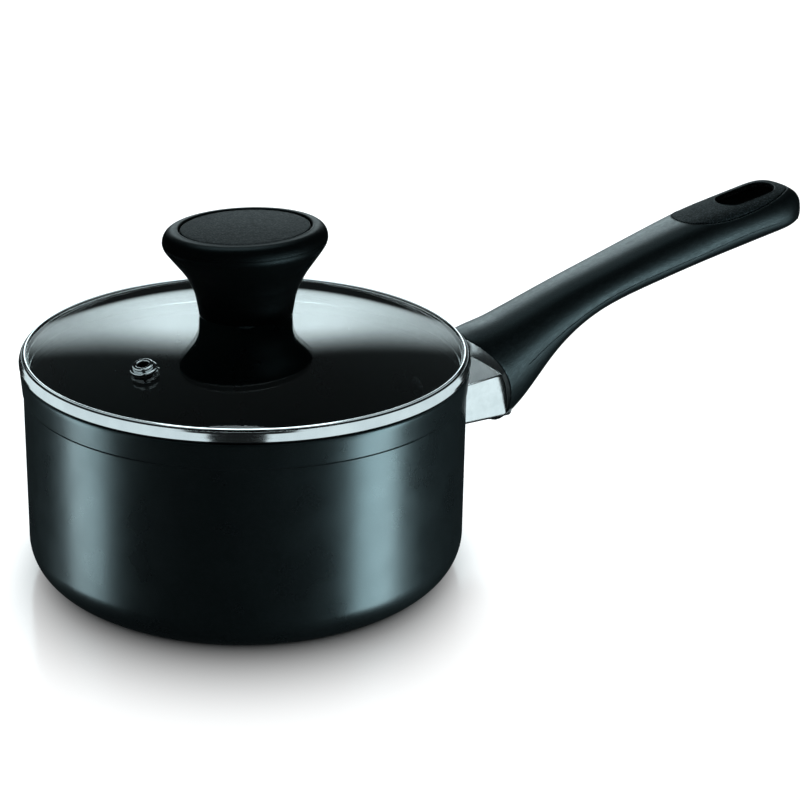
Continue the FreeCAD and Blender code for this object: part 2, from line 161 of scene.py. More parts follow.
# ---- steel sleeve and the mouth of the grip ----
SLEEVE_START = 81.2
SLEEVE_END = 112.3
SLEEVE_HALF_WIDTH = 12.4
SLEEVE_LOW = 40.0
SLEEVE_SHOULDER = 57.9
SLEEVE_SHOULDER_PLACE = 92.0
SLEEVE_RISE = 0.095
SLEEVE_CROWN = 0.9
SLEEVE_SHOULDER_ROUND = 0.8
SLEEVE_FOOT_ROUND = 4.0
SLEEVE_RINGS = 14
ROOF_STEPS = 8
SCOOP_PLACE = (77.5, 46.5)
SCOOP_RADIUS = 32.0
FILLER_SIDE = 0.4
FILLER_START = 100.0
FILLER_END = 113.8
FILLER_HIGH = 68.6

# ---- lid dome ----
DOME_RADIUS = 232.8
DOME_TOP = 100.2
GLASS_THICKNESS = 3.5
GLASS_EDGE = 82.0
GLASS_HOLE = 4.0
GLASS_EASE = 0.6
GLASS_RINGS = 22
EDGE_RING = 0.5
VENT_RADIUS = 56.7
VENT_ANGLE = 203.3
VENT_HOLE = 3.1

# ---- studio: the white card, in shares of the sky, then the floor's painted shadow in metres ----
LIGHT_TINT = (0.80, 0.96, 1.0)
CARD = 0.75
CARD_RISE = 5.4
CARD_SIDE = -0.07
CARD_HALF_WIDTH = 0.30
CARD_HEIGHT = 0.087
CARD_HALF_HEIGHT = 0.472
CARD_FADE = (0.76, 1.2)
CARD_SIDE_FADE = (0.35, 0.8)
CARD_SIDE_SHARE = 0.55
CARD_BACK_FADE = (0.0, 0.1)
CARD_FOOT_FADE = (0.0, 0.05)
AMBIENT = 0.009
BACKDROP = 1.1
FLOOR_HALF = 3.0
FLOOR_CELLS = 40
FLOOR_GAP = 0.0002
# The floor glows, and near the pan the glow fades into a painted shadow, longer on the camera's side: these
# set the glow's strength and the painted shadow's start, side and front widths and softness.
FLOOR_GLOW = 0.98
SHADE_START = 0.072
SHADE_SIDE = 0.027
SHADE_FRONT = 0.040
SHADE_SOFTNESS = 1.6

# ---- colours used by several materials ----
COOL = (0.68, 0.94, 1.0, 1.0)
# The dark colour painted as shade in the band's groove and on its inner shelf.
PAINTED_SHADE = (0.006, 0.008, 0.009, 1)


# ------------------------------------------------------------------ mesh tools

def made_object(name, bm):
    mesh = bpy.data.meshes.new(name)
    bm.to_mesh(mesh)
    bm.free()
    mesh.shade_smooth()
    piece = bpy.data.objects.new(name, mesh)
    scene.collection.objects.link(piece)
    return piece


def applied(piece):
    """Puts the piece's modifiers into its mesh."""
    graph = bpy.context.evaluated_depsgraph_get()
    mesh = bpy.data.meshes.new_from_object(piece.evaluated_get(graph))
    piece.modifiers.clear()
    piece.data = mesh
    return piece


def even_normals(piece):
    modifier = piece.modifiers.new("even_normals", "WEIGHTED_NORMAL")
    modifier.keep_sharp = True
    return piece


def arc(centre, radius, start, end, steps):
    """Points on an arc in the (radius, height) plane, angles in degrees."""
    points = []
    for k in range(steps + 1):
        a = math.radians(start + (end - start) * k / steps)
        points.append((centre[0] + radius * math.cos(a), centre[1] + radius * math.sin(a)))
    return points


def rounded(corners):
    """A closed outline with its corners eased. A corner is (a, b), or (a, b, fillet radius)."""
    points = []
    for i, corner in enumerate(corners):
        here = Vector(corner[:2])
        if len(corner) == 2:
            points.append(tuple(here))
            continue
        fillet = corner[2]
        before = (Vector(corners[i - 1][:2]) - here).normalized()
        after = (Vector(corners[(i + 1) % len(corners)][:2]) - here).normalized()
        half = before.angle(after) / 2
        centre = here + (before + after).normalized() * (fillet / math.sin(half))
        start = here + before * (fillet / math.tan(half)) - centre
        end = here + after * (fillet / math.tan(half)) - centre
        for k in range(FILLET_STEPS + 1):
            points.append(tuple(centre + start.slerp(end, k / FILLET_STEPS).normalized() * fillet))
    return points


def lathe(name, outline, steps=ROUND_STEPS):
    """Turns a closed outline of (radius, height) about the Z axis."""
    bm = bmesh.new()
    rings = []
    for radius, height in outline:
        count = 1 if radius < 1e-6 else steps
        rings.append([
            bm.verts.new((
                radius * MM * math.cos(TURN * k / steps),
                radius * MM * math.sin(TURN * k / steps),
                height * MM,
            ))
            for k in range(count)
        ])
    for i, ring in enumerate(rings):
        after = rings[(i + 1) % len(rings)]
        if len(ring) == 1 and len(after) == 1:
            continue
        for k in range(steps):
            n = (k + 1) % steps
            corners = (
                ring[k % len(ring)], after[k % len(after)],
                after[n % len(after)], ring[n % len(ring)],
            )
            bm.faces.new(dict.fromkeys(corners))
    bmesh.ops.recalc_face_normals(bm, faces=bm.faces)
    return made_object(name, bm)


def softened(name, node, voxel, passes, extra=None):
    """A copy of a CAD solid, joined with an extra piece, with its edges eased as on a moulding."""
    bm = bmesh.new()
    bm.from_mesh(nodes[node].data)
    if extra:
        bm.from_mesh(extra.data)
        bpy.data.objects.remove(extra)
    bmesh.ops.remove_doubles(bm, verts=bm.verts, dist=0.001 * MM)
    piece = made_object(name, bm)
    remesh = piece.modifiers.new("remesh", "REMESH")
    remesh.mode = "VOXEL"
    remesh.voxel_size = voxel * MM
    remesh.use_smooth_shade = True
    smooth = piece.modifiers.new("smooth", "SMOOTH")
    smooth.factor = 0.5
    smooth.iterations = passes
    return applied(piece)


def copied(name, node):
    """A piece with the CAD solid's own surface."""
    piece = bpy.data.objects.new(name, nodes[node].data.copy())
    scene.collection.objects.link(piece)
    return piece


def cut(piece, tool):
    """Takes the tool's solid out of the piece."""
    modifier = piece.modifiers.new("cut", "BOOLEAN")
    modifier.operation = "DIFFERENCE"
    modifier.solver = "EXACT"
    modifier.object = tool
    applied(piece)
    bpy.data.objects.remove(tool)
    return piece


def bead(name, points, radius, closed):
    """A fine raised line through the points, in millimetres."""
    curve = bpy.data.curves.new(name, "CURVE")
    curve.dimensions = "3D"
    curve.bevel_depth = radius * MM
    curve.bevel_resolution = 2
    curve.resolution_u = 3
    spline = curve.splines.new("NURBS")
    spline.points.add(len(points) - 1)
    for target, point in zip(spline.points, points):
        target.co = (point[0] * MM, point[1] * MM, point[2] * MM, 1)
    spline.order_u = 4
    spline.use_cyclic_u = closed
    spline.use_endpoint_u = not closed
    piece = bpy.data.objects.new(name, curve)
    scene.collection.objects.link(piece)
    return piece


# ------------------------------------------------------------------ material tools

class Shader:
    """A material with one Principled shader and short ways to wire nodes to it."""

    def __init__(self, name, **fixed):
        self.material = bpy.data.materials.new(name)
        self.material.use_nodes = True
        self.tree = self.material.node_tree
        self.body = self.tree.nodes["Principled BSDF"]
        for socket, value in fixed.items():
            self.body.inputs[socket.replace("_", " ")].default_value = value
        self.place = self.node("ShaderNodeTexCoord").outputs["Object"]

    def node(self, kind, **settings):
        made = self.tree.nodes.new(kind)
        for key, value in settings.items():
            setattr(made, key, value)
        return made

    def link(self, source, target):
        self.tree.links.new(source, target)

    def math(self, operation, first, second):
        made = self.node("ShaderNodeMath", operation=operation)
        for socket, value in zip(made.inputs, (first, second)):
            if isinstance(value, (int, float)):
                socket.default_value = value
            else:
                self.link(value, socket)
        return made.outputs[0]

    def noise(self, size, detail=2.0, stretch=(1, 1, 1), place=None):
        """Noise whose lumps are about size millimetres across, longer where stretch is under 1."""
        mapping = self.node("ShaderNodeMapping")
        mapping.inputs["Scale"].default_value = stretch
        self.link(place or self.place, mapping.inputs["Vector"])
        texture = self.node("ShaderNodeTexNoise")
        texture.inputs["Scale"].default_value = 1 / (size * MM)
        texture.inputs["Detail"].default_value = detail
        self.link(mapping.outputs[0], texture.inputs["Vector"])
        return texture.outputs["Fac"]

    def around(self):
        """Coordinates (distance from the Z axis, height, 0), for marks that run round the axis."""
        parts = self.node("ShaderNodeSeparateXYZ")
        self.link(self.place, parts.inputs[0])
        flat = self.node("ShaderNodeCombineXYZ")
        self.link(parts.outputs["X"], flat.inputs["X"])
        self.link(parts.outputs["Y"], flat.inputs["Y"])
        length = self.node("ShaderNodeVectorMath", operation="LENGTH")
        self.link(flat.outputs[0], length.inputs[0])
        joined = self.node("ShaderNodeCombineXYZ")
        self.link(length.outputs["Value"], joined.inputs["X"])
        self.link(parts.outputs["Z"], joined.inputs["Y"])
        return joined.outputs[0]

    def spread(self, source, low, high, start=0.35, end=0.65):
        made = self.node("ShaderNodeMapRange")
        made.inputs["From Min"].default_value = start
        made.inputs["From Max"].default_value = end
        made.inputs["To Min"].default_value = low
        made.inputs["To Max"].default_value = high
        self.link(source, made.inputs["Value"])
        return made.outputs["Result"]

    def colour(self, factor, first, second):
        mix = self.node("ShaderNodeMix", data_type="RGBA")
        mix.inputs[6].default_value = (*first, 1)
        mix.inputs[7].default_value = (*second, 1)
        self.link(factor, mix.inputs[0])
        self.link(mix.outputs[2], self.body.inputs["Base Color"])

    def roughness(self, factor, low, high):
        self.link(self.spread(factor, low, high), self.body.inputs["Roughness"])

    def bump(self, height, depth, under=None):
        """Relief of the given depth in millimetres, over an earlier relief if there is one."""
        made = self.node("ShaderNodeBump")
        made.inputs["Strength"].default_value = 1.0
        made.inputs["Distance"].default_value = depth * MM
        self.link(height, made.inputs["Height"])
        if under is not None:
            self.link(under, made.inputs["Normal"])
        self.link(made.outputs["Normal"], self.body.inputs["Normal"])
        return made.outputs["Normal"]


def pan_coating():
    """Dark baked coating: a fine orange peel, tiny flecks and faint handling marks."""
    s = Shader("pan_coating", Specular_IOR_Level=0.4, Specular_Tint=COOL, Metallic=0.0)
    flecks = s.noise(0.35, 3.0)
    marks = s.noise(14.0, 4.0)
    s.colour(s.spread(flecks, 0, 1, 0.45, 0.75), (0.0015, 0.0022, 0.0023), (0.006, 0.008, 0.009))
    s.roughness(marks, 0.27, 0.32)
    s.bump(flecks, 0.002, s.bump(s.noise(1.6, 2.0), 0.003))
    return s.material


def turned_steel():
    """Steel base disc with fine rings from the lathe."""
    s = Shader("turned_base_steel", Metallic=1.0)
    rings = s.noise(0.22, 2.0, (1, 1, 1), s.around())
    s.colour(s.spread(s.noise(9.0), 0, 1), (0.42, 0.42, 0.43), (0.60, 0.60, 0.60))
    s.roughness(rings, 0.22, 0.42)
    s.bump(rings, 0.006)
    return s.material


def polished_band():
    """Polished strip with hairlines round the lid, with painted shade in its groove and on its inner shelf.
    """
    s = Shader("polished_band_steel", Metallic=1.0)
    hairlines = s.noise(0.3, 2.0, (1, 1, 1), s.around())
    s.colour(s.spread(s.noise(9.0), 0, 1), (0.80, 0.81, 0.82), (0.88, 0.89, 0.89))
    s.roughness(hairlines, 0.09, 0.13)
    parts = s.node("ShaderNodeSeparateXYZ")
    s.link(s.around(), parts.inputs[0])
    radius, height = parts.outputs["X"], parts.outputs["Y"]
    # Painted shade in the groove: the colour turns to the shade colour near the groove's radius.
    away = s.math("ABSOLUTE", s.math("SUBTRACT", radius, GROOVE_RADIUS * MM), 0.0)
    groove = s.spread(away, 0.0, 1.0, GROOVE_HALF * MM, (GROOVE_HALF + GROOVE_EDGE) * MM)
    shade = s.node("ShaderNodeMix", data_type="RGBA")
    shade.inputs[6].default_value = PAINTED_SHADE
    s.link(groove, shade.inputs[0])
    s.link(s.body.inputs["Base Color"].links[0].from_socket, shade.inputs[7])
    # Painted shade on the inner shelf, where it shows through the glass.
    inner = s.spread(radius, 1.0, 0.0, SHELF_SHADE_RADIUS * MM, (SHELF_SHADE_RADIUS + 0.1) * MM)
    above = s.spread(height, 0.0, 1.0, SHELF_SHADE_LOW * MM, (SHELF_SHADE_LOW + 0.1) * MM)
    below = s.spread(height, 1.0, 0.0, SHELF_SHADE_HIGH * MM, (SHELF_SHADE_HIGH + 0.2) * MM)
    shelf = s.node("ShaderNodeMix", data_type="RGBA")
    s.link(s.math("MULTIPLY", s.math("MULTIPLY", inner, above), below), shelf.inputs[0])
    s.link(shade.outputs[2], shelf.inputs[6])
    shelf.inputs[7].default_value = PAINTED_SHADE
    s.link(shelf.outputs[2], s.body.inputs["Base Color"])
    return s.material


def polished_sleeve():
    """Stainless sleeve, half polished, with hairlines along the handle."""
    s = Shader("polished_sleeve_steel", Metallic=1.0)
    hairlines = s.noise(0.2, 2.0, (0.03, 1, 1))
    s.colour(s.spread(s.noise(5.0), 0, 1), (0.78, 0.79, 0.79), (0.88, 0.88, 0.88))
    s.roughness(hairlines, 0.17, 0.24)
    return s.material


def satin_steel(name, first, second, low, high):
    """Plain metal with a fine satin: two colours and a range of roughness."""
    s = Shader(name, Metallic=1.0)
    lumps = s.noise(0.6, 3.0)
    s.colour(s.spread(s.noise(2.5), 0, 1), first, second)
    s.roughness(lumps, low, high)
    s.bump(lumps, 0.004)
    return s.material


def phenolic(name, grain, depth, lower, upper, pale):
    """Black phenolic moulding with a fine grain whose tips are paler."""
    s = Shader(name, Specular_IOR_Level=0.16, Specular_Tint=COOL, Metallic=0.0)
    specks = s.noise(grain, 1.0)
    s.colour(s.spread(specks, 0, 1, 0.48, 0.68), (0.001, 0.0015, 0.0016), pale)
    s.roughness(s.noise(grain * 3), lower, upper)
    s.bump(specks, depth)
    return s.material


def rubber():
    s = Shader("silicone_rubber", Specular_IOR_Level=0.3)
    s.colour(s.spread(s.noise(1.2), 0, 1), (0.016, 0.016, 0.017), (0.035, 0.035, 0.036))
    s.roughness(s.noise(2.0), 0.55, 0.72)
    s.bump(s.noise(0.25), 0.008)
    return s.material


def brass():
    s = Shader("insert_brass_metal", Metallic=1.0)
    rings = s.noise(0.4, 2.0, (0.05, 1, 1), s.around())
    s.colour(s.spread(s.noise(1.5), 0, 1), (0.58, 0.42, 0.18), (0.74, 0.56, 0.28))
    s.roughness(rings, 0.24, 0.38)
    s.bump(rings, 0.02)
    return s.material


def clear_glass():
    """Tempered glass with a slow waviness and faint smears. Lamps shine through it."""
    s = Shader("lid_clear_glass", Transmission_Weight=1.0, IOR=1.5)
    s.colour(s.spread(s.noise(30.0), 0, 1), (0.93, 0.965, 0.955), (0.97, 0.985, 0.98))
    s.roughness(s.noise(18.0, 4.0, (1, 0.6, 1)), 0.0, 0.004)
    s.bump(s.noise(60.0, 1.0), 0.004)
    output = s.tree.nodes["Material Output"]
    through = s.node("ShaderNodeBsdfTransparent")
    through.inputs["Color"].default_value = (0.86, 0.9, 0.89, 1)
    mix = s.node("ShaderNodeMixShader")
    s.link(s.node("ShaderNodeLightPath").outputs["Is Shadow Ray"], mix.inputs[0])
    s.link(s.body.outputs[0], mix.inputs[1])
    s.link(through.outputs[0], mix.inputs[2])
    s.link(mix.outputs[0], output.inputs["Surface"])
    return s.material


def dress(piece, material):
    piece.data.materials.clear()
    piece.data.materials.append(material)
    return piece


def dress_node(name, material):
    """A CAD solid that keeps its shape and gets a finer finish."""
    for place in nodes[name].material_slots:
        place.material = material


# ------------------------------------------------------------------ pan

def pan_skin():
    """The pan in one turning: foot, wall, the step under the lip, and the inside back to the middle."""
    outline = [(0, PAN_UNDERSIDE), (BASE_SEAT_RADIUS, PAN_UNDERSIDE), (BASE_SEAT_RADIUS, FOOT_LOW)]
    outline += arc(FOOT_CENTRE, FOOT_ROUND, FOOT_START, 0.0, 16)
    outline += [(PAN_RADIUS, 40.0)]
    outline += rounded([
        (PAN_RADIUS, 60.0),
        (PAN_RADIUS, 71.3, 0.5),
        (82.38, 72.0, 0.5),
        (82.95, 79.2, 1.5),
        (PAN_LIP_RADIUS, PAN_RIM, 0.9),
        (80.6, PAN_RIM, 0.5),
        (80.4, 73.2, 0.6),
        (PAN_INSIDE, 72.2, 0.8),
        (PAN_INSIDE, 60.0),
    ])
    outline += arc(INSIDE_CENTRE, INSIDE_ROUND, 0.0, -90.0, 14)
    outline += [(40.0, PAN_FLOOR), (0, PAN_FLOOR)]
    return even_normals(lathe("pan_shell_skin", outline))


# ------------------------------------------------------------------ lid

def dome_height(radius, offset=0.0):
    ball = DOME_RADIUS + offset
    return DOME_TOP - DOME_RADIUS + math.sqrt(ball * ball - radius * radius)


def vent_place():
    """The frame of the steam vent: its origin on the glass's outer face, its Z axis out of the glass."""
    lean = math.asin(VENT_RADIUS / DOME_RADIUS)
    return (
        Matrix.Translation((0, 0, (DOME_TOP - DOME_RADIUS) * MM))
        @ Matrix.Rotation(math.radians(VENT_ANGLE), 4, "Z")
        @ Matrix.Rotation(lean, 4, "Y")
        @ Matrix.Translation((0, 0, DOME_RADIUS * MM))
    )


def dome_rings(offset, inward):
    """Rings of the glass's face, with one more close to the edge so that the shading stays even."""
    first, last = GLASS_HOLE + GLASS_EASE, GLASS_EDGE - GLASS_EASE
    radii = [first + (last - first) * k / GLASS_RINGS for k in range(GLASS_RINGS + 1)]
    radii.insert(GLASS_RINGS, last - EDGE_RING)
    if inward:
        radii.reverse()
    return [(r, dome_height(r, offset)) for r in radii]


def glass_dome():
    top = dome_height(GLASS_EDGE)
    outline = dome_rings(0.0, False)
    outline += [(GLASS_EDGE - 0.15, top - 0.2), (GLASS_EDGE, top - GLASS_EASE)]
    outline += [(GLASS_EDGE, dome_height(GLASS_EDGE, -GLASS_THICKNESS) + GLASS_EASE)]
    outline += dome_rings(-GLASS_THICKNESS, True)
    outline += [
        (GLASS_HOLE, dome_height(GLASS_HOLE, -GLASS_THICKNESS) + GLASS_EASE),
        (GLASS_HOLE, dome_height(GLASS_HOLE) - GLASS_EASE),
    ]
    pane = lathe("lid_glass_pane", outline)
    tool = lathe("vent_drill", [(0, -10), (VENT_HOLE, -10), (VENT_HOLE, 10), (0, 10)], 48)
    tool.data.transform(vent_place())
    return cut(pane, tool)


def band_ring():
    """The rolled strip: a bead over the glass, a groove, a rounded face and the skirt inside the pan."""
    corners = [
        (BAND_LIP, dome_height(BAND_LIP) + GLASS_PLAY),
        (BAND_LIP, BAND_HIGH - 0.1, 0.35),
        (BAND_LIP + 0.5, BAND_HIGH, 0.3),
        (BAND_LIP + 0.98, BAND_HIGH - 0.3, 0.3),
        (BAND_LIP + 1.05, BAND_HIGH - 1.05, 0.1),
        (BAND_LIP + 1.5, BAND_HIGH - 1.05, 0.05),
        (BAND_LIP + 1.55, BAND_HIGH - 0.8, 0.06),
        (BAND_RADIUS - 0.42, BAND_HIGH - 1.6, 0.5),
        (BAND_RADIUS, BAND_HIGH - 3.1, 1.4),
        (BAND_RADIUS - 0.05, BAND_LOW + 0.35, 0.4),
        (BAND_RADIUS - 0.5, BAND_LOW, 0.2),
        (SKIRT_OUTSIDE, BAND_LOW, 0.2),
        (SKIRT_OUTSIDE, SKIRT_LOW, 0.25),
        (SKIRT_INSIDE - 0.35, SKIRT_LOW, 0.35),
        (SKIRT_INSIDE - 0.5, SKIRT_LOW + 0.7, 0.35),
        (SKIRT_INSIDE, SKIRT_LOW + 0.95, 0.2),
        (SKIRT_INSIDE, SHELF - 1.0, 0.2),
        (SKIRT_INSIDE - 0.3, SHELF - 0.6, 0.25),
        (SKIRT_INSIDE - 0.25, SHELF - 0.1, 0.2),
        (BAND_POCKET, SHELF),
        (BAND_POCKET, dome_height(GLASS_EDGE) + GLASS_PLAY),
    ]
    return even_normals(lathe("lid_band_ring", rounded(corners)))


# ------------------------------------------------------------------ sleeve

def sleeve_shoulder(x):
    """The height of the sleeve's shoulders at x."""
    return SLEEVE_SHOULDER + (x - SLEEVE_SHOULDER_PLACE) * SLEEVE_RISE


def sleeve_section(x):
    """The sleeve's outline at x, as (across, height): a crowned roof, small shoulders, round feet."""
    half, low = SLEEVE_HALF_WIDTH, SLEEVE_LOW
    top = sleeve_shoulder(x)
    shares = [k / ROOF_STEPS for k in range(1 - ROOF_STEPS, ROOF_STEPS)]
    roof = [(half * share, top + SLEEVE_CROWN * (1 - share ** 2)) for share in shares]
    sides = [
        (half, top, SLEEVE_SHOULDER_ROUND), (half, low, SLEEVE_FOOT_ROUND),
        (-half, low, SLEEVE_FOOT_ROUND), (-half, top, SLEEVE_SHOULDER_ROUND),
    ]
    return rounded(roof + sides)


def sleeve_turning():
    """The sleeve, from the pan's wall to inside the grip. Its first ring follows the wall."""
    bm = bmesh.new()
    rings = []
    for i in range(SLEEVE_RINGS + 1):
        share = i / SLEEVE_RINGS
        ring = []
        for across, height in sleeve_section(SLEEVE_START + (SLEEVE_END - SLEEVE_START) * share):
            start = math.sqrt(SLEEVE_START ** 2 - across ** 2)
            x = start + (SLEEVE_END - start) * share
            ring.append(bm.verts.new((x * MM, across * MM, height * MM)))
        rings.append(ring)
    count = len(rings[0])
    for ring, after in zip(rings, rings[1:]):
        for k in range(count):
            n = (k + 1) % count
            bm.faces.new((ring[k], ring[n], after[n], after[k]))
    for ring in (rings[0], rings[-1]):
        bm.faces.new(ring)
    bmesh.ops.recalc_face_normals(bm, faces=bm.faces)
    return even_normals(made_object("flame_guard_sleeve", bm))


def grip_filler():
    """The part of the grip that closes down on the sleeve's roof, with the grip's scooped mouth."""
    half = SLEEVE_HALF_WIDTH + FILLER_SIDE
    bm = bmesh.new()
    corners = []
    for x in (FILLER_START, FILLER_END):
        for height in (sleeve_shoulder(x) + SLEEVE_CROWN / 3, FILLER_HIGH):
            for across in (-half, half):
                corners.append(bm.verts.new((x * MM, across * MM, height * MM)))
    for face in ((0, 1, 3, 2), (4, 5, 7, 6), (0, 1, 5, 4), (2, 3, 7, 6), (0, 2, 6, 4), (1, 3, 7, 5)):
        bm.faces.new([corners[k] for k in face])
    bmesh.ops.recalc_face_normals(bm, faces=bm.faces)
    filler = made_object("grip_filler", bm)
    tool = lathe("scoop_drill", [(0, -40), (SCOOP_RADIUS, -40), (SCOOP_RADIUS, 40), (0, 40)], 160)
    place = Matrix.Translation((SCOOP_PLACE[0] * MM, 0, SCOOP_PLACE[1] * MM))
    tool.data.transform(place @ Matrix.Rotation(TURN / 4, 4, "X"))
    return cut(filler, tool)


# ------------------------------------------------------------------ fine lines

def grip_lines():
    """The mould's parting line along both sides of the grip."""
    beads = []
    for side, name in ((-1, "grip_parting_line_right"), (1, "grip_parting_line_left")):
        points = [(x, side * half, z) for x, z, half in GRIP_PARTING]
        beads.append(bead(name, points, PARTING_BEAD, False))
    return beads


def oval(half_length, half_width, height):
    """A level oval, turned with the knob."""
    c, d = math.cos(math.radians(KNOB_TURN)), math.sin(math.radians(KNOB_TURN))
    points = []
    for k in range(OVAL_STEPS):
        a = TURN * k / OVAL_STEPS
        x, y = half_length * math.cos(a), half_width * math.sin(a)
        points.append((x * c - y * d, x * d + y * c, height))
    return points


def smooth_line(points):
    """A curve through the points (Catmull-Rom)."""
    line = []
    for i in range(len(points) - 1):
        before, start, end, after = (
            Vector(points[max(0, min(len(points) - 1, i + k))]) for k in (-1, 0, 1, 2)
        )
        for k in range(CURVE_STEPS):
            t = k / CURVE_STEPS
            line.append(tuple(0.5 * (
                2 * start + (end - before) * t
                + (2 * before - 5 * start + 4 * end - after) * t * t
                + (3 * start - before - 3 * end + after) * t * t * t
            )))
    line.append(tuple(points[-1]))
    return line


def oval_turning(name, outline, seat=False):
    """Oval rings from (half length, height) pairs, rounder at the waist. A seat follows the glass."""
    bm = bmesh.new()
    rings = []
    for i, (half, height) in enumerate(outline):
        ring = []
        share = min(1.0, max(0.0, (height - WAIST_HEIGHT) / (RIM_HEIGHT - WAIST_HEIGHT)))
        ratio = WAIST_RATIO + (KNOB_RATIO - WAIST_RATIO) * share
        for x, y, z in oval(half, half * ratio, height):
            if seat and i == 0:
                z = dome_height(math.hypot(x, y)) + KNOB_GAP
            ring.append(bm.verts.new((x * MM, y * MM, z * MM)))
        rings.append(ring)
    for ring, after in zip(rings, rings[1:]):
        for k in range(OVAL_STEPS):
            n = (k + 1) % OVAL_STEPS
            bm.faces.new((ring[k], ring[n], after[n], after[k]))
    for ring in (rings[0], rings[-1]):
        bm.faces.new(ring)
    bmesh.ops.recalc_face_normals(bm, faces=bm.faces)
    piece = made_object(name, bm)
    piece.data.set_sharp_from_angle(angle=math.radians(CAP_SHARP_ANGLE))
    return piece


def knob_turning():
    """The knob: a waist, a wide rim with its parting step, and a groove round the cap."""
    groove = rounded(KNOB_GROOVE)[1:]
    outline = smooth_line(KNOB_FLARE) + list(KNOB_STEP) + smooth_line(KNOB_CROWN) + groove
    return oval_turning("knob_moulding", outline, True)


def cap_crown(half):
    """The height of the cap's top at half of its length."""
    return KNOB_TOP - CAP_DROP - CAP_RISE * (half / CAP_HALF) ** 2


def cap_turning():
    """The cap in the knob's top, a little crowned."""
    side = rounded([
        (CAP_HALF, CAP_FOOT),
        (CAP_HALF, cap_crown(CAP_HALF), 0.5),
        (22.0, cap_crown(22.0), 0.4),
        (20.0, cap_crown(20.0)),
    ])
    top = [(half, cap_crown(half)) for half in (16.0, 12.0, 8.0, 4.0, 1.0)]
    return oval_turning("knob_cap", side + top)


def handle_end_line(name, target, middle, outline):
    """A fine line laid on the handle's top round an outline that is square to the handle's end."""
    corners = [v.co for v in target.data.vertices]
    tree = BVHTree.FromPolygons(corners, [f.vertices for f in target.data.polygons])
    tilt = math.radians(END_TILT)
    along = Vector((math.cos(tilt), 0, math.sin(tilt)))
    up = Vector((-math.sin(tilt), 0, math.cos(tilt)))
    centre = Vector((middle, 0, END_HEIGHT + (middle - END_PLACE) * math.tan(tilt)))
    points = []
    for a, b in outline:
        start = (centre + along * a + up * PROBE_LIFT) * MM + Vector((0, b * MM, 0))
        hit = tree.ray_cast(start, -up, PROBE_REACH * MM)[0]
        if hit:
            points.append(tuple(hit / MM + up * END_BEAD_LIFT))
    return bead(name, points, END_BEAD, True)


def plate_outline(extra):
    """The end plate's outline, a squared oval, with something extra all round."""
    points = []
    for k in range(LINE_STEPS):
        c, d = math.cos(TURN * k / LINE_STEPS), math.sin(TURN * k / LINE_STEPS)
        a = (PLATE_HALF_LENGTH + extra) * math.copysign(abs(c) ** (2 / PLATE_ROUNDNESS), c)
        b = (PLATE_HALF_WIDTH + extra) * math.copysign(abs(d) ** (2 / PLATE_ROUNDNESS), d)
        points.append((a, b))
    return points


def slot_outline(extra):
    """The hanging slot's outline, a capsule, with something extra all round."""
    radius = SLOT_WIDTH / 2 + extra
    straight = (SLOT_LENGTH - SLOT_WIDTH) / 2
    points = []
    for end in (1, -1):
        for k in range(SLOT_END_STEPS + 1):
            a = math.pi * k / SLOT_END_STEPS - math.pi / 2
            points.append((end * (straight + radius * math.cos(a)), end * radius * math.sin(a)))
    return points


# ------------------------------------------------------------------ finish of the pieces

coating = pan_coating()
band_steel = polished_band()
sleeve_steel = polished_sleeve()
base_steel = turned_steel()
zinc = satin_steel("zinc_plated_steel", (0.46, 0.47, 0.49), (0.62, 0.63, 0.64), 0.28, 0.42)
rivet_metal = satin_steel("rivet_aluminium", (0.20, 0.22, 0.23), (0.34, 0.36, 0.37), 0.16, 0.24)
chrome = satin_steel("eyelet_chrome_plate", (0.46, 0.48, 0.49), (0.58, 0.60, 0.61), 0.06, 0.12)
grip_black = phenolic("grip_phenolic", 0.55, 0.045, 0.38, 0.46, (0.0035, 0.0046, 0.005))
knob_black = phenolic("knob_phenolic", 0.5, 0.045, 0.36, 0.42, (0.0025, 0.0032, 0.0035))
plate_black = phenolic("plate_phenolic", 0.7, 0.13, 0.74, 0.82, (0.016, 0.022, 0.025))
silicone = rubber()
insert_brass = brass()
glass = clear_glass()

pan = dress(pan_skin(), coating)
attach(pan, "pan")
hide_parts("pan_shell")

pane = dress(glass_dome(), glass)
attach(pane, "lid")
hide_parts("lid_glass")

band = dress(band_ring(), band_steel)
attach(band, "lid")
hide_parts("lid_rim_band")

handle_pieces = []
for node, piece_name, material, slot, voxel, extra in (
    ("handle_grip", "handle_grip_moulding", grip_black, "phenolic", 0.4, grip_filler()),
    ("handle_end_insert", "handle_end_plate", plate_black, "phenolic_plate", 0.25, None),
):
    moulding = dress(softened(piece_name, node, voxel, SMOOTH_PASSES, extra), material)
    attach(moulding, "pan")
    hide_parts(node)
    handle_pieces.append(moulding)
grip, plate = handle_pieces
end_lines = [
    handle_end_line("plate_groove_line", grip, PLATE_MIDDLE, plate_outline(0.7)),
    handle_end_line("slot_rim_line", plate, SLOT_MIDDLE, slot_outline(0.35)),
]
for piece in grip_lines() + end_lines:
    dress(piece, grip_black)
    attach(piece, "pan")
    handle_pieces.append(piece)

knob_pieces = []
for node, piece, material, slot in (
    ("knob_body", knob_turning(), knob_black, "phenolic"),
    ("knob_top_insert", cap_turning(), plate_black, "phenolic_plate"),
):
    dress(piece, material)
    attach(piece, "lid")
    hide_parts(node)
    knob_pieces.append(piece)
cap = knob_pieces[1]

bright_pieces = [band]
for node, piece, material, slot, body in (
    ("flame_guard", sleeve_turning(), sleeve_steel, "polished_steel", "pan"),
    (
        "steam_vent_eyelet", copied("vent_eyelet_turning", "steam_vent_eyelet"),
        chrome, "eyelet_chrome", "lid",
    ),
):
    dress(piece, material)
    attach(piece, body)
    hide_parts(node)
    bright_pieces.append(piece)
sleeve, eyelet = bright_pieces[1:]

